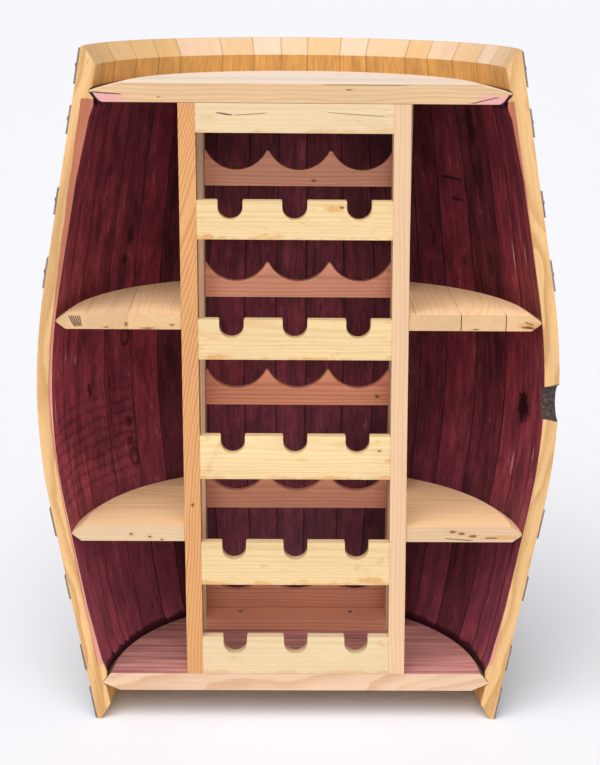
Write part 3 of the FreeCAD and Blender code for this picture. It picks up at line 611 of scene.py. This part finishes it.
TOP_OAK = Wood(srgb(214, 180, 140), srgb(188, 146, 98), spacing=3.4 * MM, heart=(0.05, -0.06),
               wander=18 * MM, band=0.45, fibre=0.16, blotch=0.14, pores=0.2, rough=0.6)
SHELF_OAK = Wood(srgb(216, 178, 134), srgb(190, 144, 98), spacing=3.2 * MM, heart=(0.03, -0.12),
                 wander=18 * MM, band=0.4, fibre=0.16, blotch=0.16, pores=0.3, rough=0.62)
BOTTOM_OAK = Wood(srgb(222, 188, 158), srgb(198, 152, 116), spacing=5.5 * MM, heart=(0.16, -0.04),
                  wander=20 * MM, lean=0.05, band=0.6, fibre=0.14, blotch=0.14, pores=0.2,
                  rough=0.6)
DOWEL_WOOD = Wood(srgb(222, 186, 140), srgb(196, 150, 100), rough=0.6)

PINK_STAIN = srgb(222, 156, 160)
PINK_SPAN = (0.215, 0.250)              # the top head's front turns pink between these half widths
PINK_HEIGHT = 14 * MM                   # how high the pink reaches above the head's foot
RIM_SPAN = (0.2560, 0.2575)             # and dark between these
RIM_DARK = srgb(62, 18, 34)
HEAD_WINE = (srgb(156, 97, 99), srgb(208, 151, 141))
# painted light: near-white colour for the upward face of the top head
PAINTED_LIGHT_TOP = srgb(240, 224, 208)
HEAD_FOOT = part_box("top_head_board_1")[0].z
HEAD_FLAT = 0.2645                      # where the rim bevel on a head's wine side starts
OCHRE = srgb(206, 146, 74)
BLEACHED = srgb(213, 196, 171)          # tint of the paler boards
REAR_PALE = srgb(237, 195, 170)
CRACK = srgb(66, 38, 26)


# Marks on the front faces, in metres across and up: cracks are start, end and width, and knots
# are middle, half width and half height.
CRACKS = {
    "shelf_upper_left": [((-0.3115 + 0.0030 * n, 0.5945), (-0.3030 + 0.0018 * n, 0.5770), 0.0011)
                         for n in range(6)],
    "shelf_upper_right": [((0.300, 0.581), (0.331, 0.5765), 0.0012),
                          ((0.306, 0.588), (0.318, 0.583), 0.001)],
    "shelf_lower_right": [((0.205, 0.2765), (0.250, 0.2725), 0.0008)],
    "top_head_board_1": [((-0.2750, 0.8920), (-0.2320, 0.8890), 0.001),
                         ((0.2200, 0.8795), (0.2620, 0.8895), 0.0009),
                         ((0.0200, 0.9030), (0.1500, 0.9035), 0.0005)],
    "front_rail_top": [((-0.112, 0.8665), (-0.088, 0.863), 0.0013),
                       ((-0.09, 0.863), (-0.04, 0.8665), 0.0005),
                       ((0.03, 0.868), (0.118, 0.862), 0.0004)],
    "rear_cleat_bottom": [((-0.12, 0.0985), (0.02, 0.1015), 0.0014),
                          ((0.02, 0.1015), (0.12, 0.0975), 0.0012)],
}
KNOTS = {
    "shelf_upper_left": [((-0.2338, 0.582), 0.003, 0.004), ((-0.172, 0.581), 0.004, 0.002),
                         ((-0.205, 0.5765), 0.013, 0.0014), ((-0.262, 0.5775), 0.006, 0.0012)],
    "shelf_upper_right": [((0.313, 0.580), 0.009, 0.0026), ((0.326, 0.5785), 0.006, 0.003),
                          ((0.240, 0.577), 0.006, 0.0012)],
    "shelf_lower_left": [((-0.2325, 0.281), 0.003, 0.002), ((-0.207, 0.277), 0.0035, 0.002),
                         ((-0.189, 0.273), 0.003, 0.0015)],
    "shelf_lower_right": [((0.218, 0.286), 0.007, 0.0026), ((0.230, 0.283), 0.006, 0.0026),
                          ((0.246, 0.2795), 0.008, 0.0026), ((0.272, 0.277), 0.012, 0.0016)],
    "front_rail_1": [((0.055, 0.7425), 0.0045, 0.0025)],
    "front_rail_3": [((0.112, 0.405), 0.003, 0.0022)],
    "rear_rail_1": [((0.022, 0.752), 0.005, 0.0022)],
    "rear_rail_3": [((0.120, 0.430), 0.004, 0.003)],
    "front_post_left": [((-0.146, 0.325), 0.0028, 0.0035)],
    "top_head_board_1": [((-0.186, 0.886), 0.0026, 0.001), ((0.062, 0.897), 0.006, 0.0012)],
}
OCHRE_PATCHES = {
    "shelf_lower_right": [((0.292, 0.2785), 0.028, 0.0045)],
    "shelf_upper_right": [((0.315, 0.582), 0.022, 0.008)],
    "front_rail_1": [((0.045, 0.741), 0.016, 0.006), ((-0.125, 0.702), 0.014, 0.006)],
    "front_rail_2": [((-0.110, 0.538), 0.022, 0.005)],
    "front_rail_4": [((0.105, 0.214), 0.026, 0.007)],
}


def front_marks(graph, node, colour, height):
    """Cracks, knots and ochre patches on a front face."""
    dark = graph.math("ADD", 0.0, 0.0)
    warm = graph.math("ADD", 0.0, 0.0)
    for start, end, width in CRACKS.get(node, []):
        dark = graph.either(dark, stroke(graph, graph.x, graph.z, start, end, width, start[0] * 90))
    for middle, wide, tall in KNOTS.get(node, []):
        spot = knot(graph, graph.x, graph.z, middle, wide, tall, middle[0] * 70)
        dark = graph.either(dark, spot * 0.8)
        halo = knot(graph, graph.x, graph.z, middle, wide * 2.4, tall * 2.4, middle[0] * 70)
        warm = graph.either(warm, halo * 0.25)
    for middle, wide, tall in OCHRE_PATCHES.get(node, []):
        patch = knot(graph, graph.x, graph.z, middle, wide, tall, middle[0] * 50)
        warm = graph.either(warm, patch * 0.6)
    facing = graph.front()
    dark = graph.both(dark, facing)
    colour = graph.mix(graph.both(warm, facing), colour, OCHRE)
    return graph.mix(dark * 0.92, colour, CRACK), height - dark * (0.5 * MM)


def centre_of(node):
    low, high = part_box(node)
    return (low + high) / 2


def board_fields(graph, node, way):
    """Place in a board whose grain runs along X, Y or Z: along, across and depth."""
    middle = centre_of(node)
    x = graph.x - middle.x
    y = graph.y - (middle.y - SAW_CUT)
    z = graph.z - middle.z
    return {"X": (x, z, y), "Y": (y, x, z), "Z": (z, x, y), "XY": (x, y, z)}[way]


def plain_board(node, wood, way, seed):
    graph = Graph(node)
    along, across, depth = board_fields(graph, node, way)
    colour, height = grain(graph, wood, along, across, depth, seed)
    return graph, along, across, depth, colour, height


def rail_material(node, seed, bleached=0.0):
    """Creamy notched rail with ochre stains along its lower edge and at its corners."""
    graph, along, across, depth, colour, height = plain_board(node, RAIL_OAK, "X", seed)
    low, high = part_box(node)
    half = (high.z - low.z) / 2
    stain = graph.noise(along * 30 + seed, across * 75, depth * 60, 3, 0.65)
    reach = graph.smooth(across, 9 * MM - half, MM - half)
    corner = graph.smooth(graph.math("ABSOLUTE", along), 0.08, 0.135)
    ochre = graph.smooth(stain + reach * 0.2 + corner * 0.07, 0.6, 0.82)
    colour = graph.mix(ochre * 0.6, colour, OCHRE)
    fleck = graph.noise(along * 60 + seed, across * 700, depth * 300, 2, 0.6)
    fleck = graph.smooth(fleck, 0.6, 0.75) * 0.4
    colour = graph.mix(fleck, colour, RAIL_OAK.late)
    colour = graph.mix(bleached, colour, BLEACHED)
    colour, height = front_marks(graph, node, colour, height)
    return graph.surface(colour, RAIL_OAK.rough, height)


def simple_material(node, wood, way, seed, tone=1.0, pale=0.0):
    graph, along, across, depth, colour, height = plain_board(node, wood, way, seed)
    colour = graph.mix(pale, graph.shade(colour, tone), REAR_PALE)
    colour, height = front_marks(graph, node, colour, height)
    return graph.surface(colour, wood.rough, height)


def seam_planes(node, axis):
    """Places along an axis where two boards of a node meet: faces there look both ways."""
    ways = {}
    mesh = NODES[node].data
    for polygon in mesh.polygons:
        if abs(polygon.normal[axis]) > 0.999:
            place = round(polygon.center[axis], 5)
            ways.setdefault(place, set()).add(polygon.normal[axis] > 0)
    return sorted(place for place, both in ways.items() if len(both) == 2)


# A split in the top of the lower left shelf: two places across and behind the cut, and width.
TOP_SPLIT = ((-0.262, 0.084), (-0.170, 0.080), 1.1 * MM)


def shelf_material(node, way, seed, lift, bleached):
    """Quarter of a barrel head: boards that differ a little, with dark lines where they meet."""
    graph = Graph(node)
    along, across, depth = board_fields(graph, node, way)
    axis = 0 if way == "Y" else 1
    place = (graph.x, graph.y + SAW_CUT)[axis]
    board = graph.math("ADD", 0.0, 0.0)
    line = graph.math("ADD", 0.0, 0.0)
    for seam in seam_planes(node, axis):
        board = board + graph.math("GREATER_THAN", place, seam)
        off = graph.math("ABSOLUTE", place - seam)
        line = graph.either(line, graph.smooth(off, 1.0 * MM, 0.2 * MM))
    colour, height = grain(graph, SHELF_OAK, along + board * 0.83, across + board * 0.031, depth,
                           seed)
    tone = graph.noise(board * 5.3 + seed, 0.5, 0.5, 0) - 0.5
    patchy = graph.noise(along * 30, across * 12, seed, 2)
    top = graph.smooth(graph.nz, 0.5, 0.9)
    split = stroke(graph, graph.x, graph.y, *TOP_SPLIT, seed)
    broken = graph.blend(graph.smooth(graph.ny, -0.7, -0.9), patchy, graph.smooth(patchy, 0.5, 0.6))
    line = graph.either(line * broken, graph.both(split, top) * 0.6)
    colour = graph.mix(graph.blend(top, bleached, 0.14), colour, BLEACHED)
    # painted light: the upward face of the shelf is made brighter by top * lift
    colour = graph.shade(colour, 1.0 + tone * 0.22 - line * 0.95 + top * lift)
    colour, height = front_marks(graph, node, colour, height)
    return graph.surface(colour, SHELF_OAK.rough, height - line * (0.3 * MM))


def head_material(node, wood, seed, lower):
    """Board of a head. Wine has stained the side that was inside the barrel. On the top head the
    upward face is made near white as painted light, and the wine side is darker as painted shade.
    """
    graph, along, across, depth, colour, height = plain_board(node, wood, "XY", seed)
    streak = graph.noise(along * 5, across * 150, seed, 3, 0.6)
    wine = graph.mix(graph.smooth(streak, 0.3, 0.7), *HEAD_WINE)
    cloud = graph.speckle(along * 9, across * 26, seed, 3)
    wine = graph.shade(wine, cloud * 0.7 + 1.0 + graph.smooth(graph.x, 0.05, 0.2) * 0.2)
    if lower:
        wet = graph.smooth(graph.nz, 0.5, 0.8)
    else:
        # painted shade: the wine side of the top head faces down and is darkened towards WINE_DARK
        wine = graph.mix(0.6, wine, WINE_DARK)
        wet = graph.smooth(graph.nz, -0.3, -0.6)
        top = graph.smooth(graph.nz, 0.3, 0.9)
        # painted light: the upward face of the top head is made near white
        colour = graph.mix(top * 0.9, colour, graph.shade(PAINTED_LIGHT_TOP, streak * 0.3 + 0.85))
    out = graph.length(graph.x, graph.y)
    # a nearly black band on the rim bevel of the head's wine side
    joint_black = graph.smooth(out + (streak - 0.5) * (4 * MM), HEAD_FLAT - MM, HEAD_FLAT + MM)
    colour = graph.mix(wet, colour, graph.mix(joint_black, wine, HEAD_JOINT_BLACK))
    if not lower:
        colour = head_corners(graph, colour)
    colour, height = front_marks(graph, node, colour, height)
    return graph.surface(colour, wood.rough, height)


def head_corners(graph, colour):
    """Pink wine stain round the lower corners of the top head, and a dark band along the rim."""
    out = graph.math("ABSOLUTE", graph.x)
    rise = graph.z - HEAD_FOOT
    wobble = graph.speckle(graph.x * 60, graph.z * 200, 3.0, 2) * (6 * MM)
    fade = graph.both(graph.smooth(out, *PINK_SPAN),
                      graph.smooth(rise + wobble, PINK_HEIGHT, PINK_HEIGHT - 5 * MM))
    facing = graph.front()
    colour = graph.mix(graph.both(fade, facing) * 0.85, colour, PINK_STAIN)
    # dark band along the rim at the lower corners of the front face
    rim = out - graph.math("SQRT", graph.math("MAXIMUM", rise, 0.0)) * 0.13
    rim = graph.both(graph.smooth(rim, *RIM_SPAN),
                     graph.smooth(rise, PINK_HEIGHT, PINK_HEIGHT - 2 * MM))
    return graph.mix(graph.both(rim, facing), colour, RIM_DARK)


# ---- metal -----------------------------------------------------------------------------------
ZINC = srgb(160, 150, 148)
ZINC_DARK = srgb(98, 86, 84)
RUST = srgb(122, 74, 46)


def metal_material(name, rusty, spangle):
    """Galvanised steel: spangled grey, dulled, with rust freckles."""
    graph = Graph(name)
    flake = graph.noise(graph.x * spangle, graph.y * spangle, graph.z * spangle, 3, 0.6)
    dull = graph.noise(graph.x * 14, graph.y * 14, graph.z * 22, 4, 0.65)
    freckle = graph.noise(graph.x * 90, graph.y * 90, graph.z * 90 + 3, 4, 0.7)
    rust = graph.smooth(freckle * 0.6 + dull * 0.6, 0.74 - rusty, 0.86 - rusty)
    colour = graph.mix(graph.smooth(flake * 0.5 + dull * 0.5, 0.35, 0.65), ZINC_DARK, ZINC)
    colour = graph.mix(rust * 0.8, colour, RUST)
    rough = 0.38 + (dull - 0.5) * 0.3 + rust * 0.35
    return graph.surface(colour, rough, rust * (0.12 * MM) + flake * (0.02 * MM), 0.5,
                         Metallic=0.85)


# ---- finishing the pieces --------------------------------------------------------------------
FLAT_ANGLE = 0.5                        # degrees; faces closer to flat than this become one
SHARP_ANGLE = 30.0                      # degrees; only edges sharper than this are eased
BOARD_EASE = 0.9 * MM
HEAD_EASE = 0.8 * MM


def paint(node, material):
    slots = NODES[node].data.materials
    slots.clear()
    slots.append(material)


def soften(node, width, segments=2):
    """Ease the sharp edges of a piece without moving it."""
    weld = NODES[node].modifiers.new("weld", "WELD")
    weld.merge_threshold = 0.002 * MM
    flat = NODES[node].modifiers.new("flat", "DECIMATE")
    flat.decimate_type = "DISSOLVE"
    flat.angle_limit = math.radians(FLAT_ANGLE)
    bevel = NODES[node].modifiers.new("ease", "BEVEL")
    bevel.width = width
    bevel.segments = segments
    bevel.limit_method = "ANGLE"
    bevel.angle_limit = math.radians(SHARP_ANGLE)


def paint_staves():
    for number, look in enumerate(STAVES, 1):
        node = f"stave_{number:02d}"
        paint(node, stave_material(NODES[node], number, *look))


BLEACHED_RAILS = {"top": 0.35, 5: 0.35}
# Brightness of each rear rail from the top, and how much paler and pinker it is.
REAR_RAIL_LOOKS = ((1.6, 0.30), (1.6, 0.18), (1.36, 0.0), (1.08, 0.08), (1.08, 0.08))
CLEAT_LOOK = (1.26, 0.15)


def paint_frame():
    paint("front_rail_top", rail_material("front_rail_top", 3.1, BLEACHED_RAILS["top"]))
    for number in range(1, 6):
        node = f"front_rail_{number}"
        paint(node, rail_material(node, number * 5.3, BLEACHED_RAILS.get(number, 0.0)))
        node = f"rear_rail_{number}"
        paint(node, simple_material(node, REAR_WOOD, "X", number * 3.9,
                                    *REAR_RAIL_LOOKS[number - 1]))
    paint("front_post_left", simple_material("front_post_left", LEFT_FIR, "Z", 1.0))
    paint("front_post_right", simple_material("front_post_right", RIGHT_FIR, "Z", 2.0))
    for side, seed in (("left", 4.0), ("right", 5.0)):
        paint(f"rear_post_{side}", simple_material(f"rear_post_{side}", REAR_POST, "Z", seed))
    for level, seed in (("top", 6.0), ("bottom", 7.0)):
        node = f"rear_cleat_{level}"
        paint(node, simple_material(node, REAR_WOOD, "X", seed, *CLEAT_LOOK))


def paint_heads():
    for number in range(1, 4):
        node = f"top_head_board_{number}"
        paint(node, head_material(node, TOP_OAK, number * 2.9, False))
    for number in range(1, 5):
        node = f"bottom_head_board_{number}"
        paint(node, head_material(node, BOTTOM_OAK, number * 4.1, True))
    paint("head_dowels", simple_material("head_dowels", DOWEL_WOOD, "Y", 1.0))


# Way of the grain, start of its noise, how much brighter the top is as painted light, and how
# bleached the front.
SHELF_LOOKS = {
    "shelf_upper_left": ("Y", 1.3, 0.44, 0.0),
    "shelf_upper_right": ("Y", 2.6, 0.66, 0.03),
    "shelf_lower_left": ("XY", 3.8, 0.42, 0.40),
    "shelf_lower_right": ("XY", 4.7, 0.52, 0.28),
}


def paint_shelves():
    for node, look in SHELF_LOOKS.items():
        paint(node, shelf_material(node, *look))


def paint_metal():
    hoop = metal_material("hoop_zinc", 0.06, 420)
    screw = metal_material("screw_zinc", -0.04, 900)
    for number in range(1, 9):
        paint(f"hoop_{number}", hoop)
    paint("hoop_rivets", hoop)
    for name in ("hoop_screws", "rail_screws", "cleat_screws", "shelf_screws"):
        paint(name, screw)


def soften_pieces():
    for name in NODES:
        if name.startswith(("front_post", "rear_rail", "rear_post", "rear_cleat")):
            soften(name, BOARD_EASE)
        if name.startswith("front_rail"):
            soften(name, BOARD_EASE, segments=1)
        if name.startswith(("top_head", "bottom_head")):
            soften(name, HEAD_EASE)


make_camera()
make_lights()
make_floor()
paint_staves()
paint_frame()
paint_heads()
paint_shelves()
paint_metal()
soften_pieces()
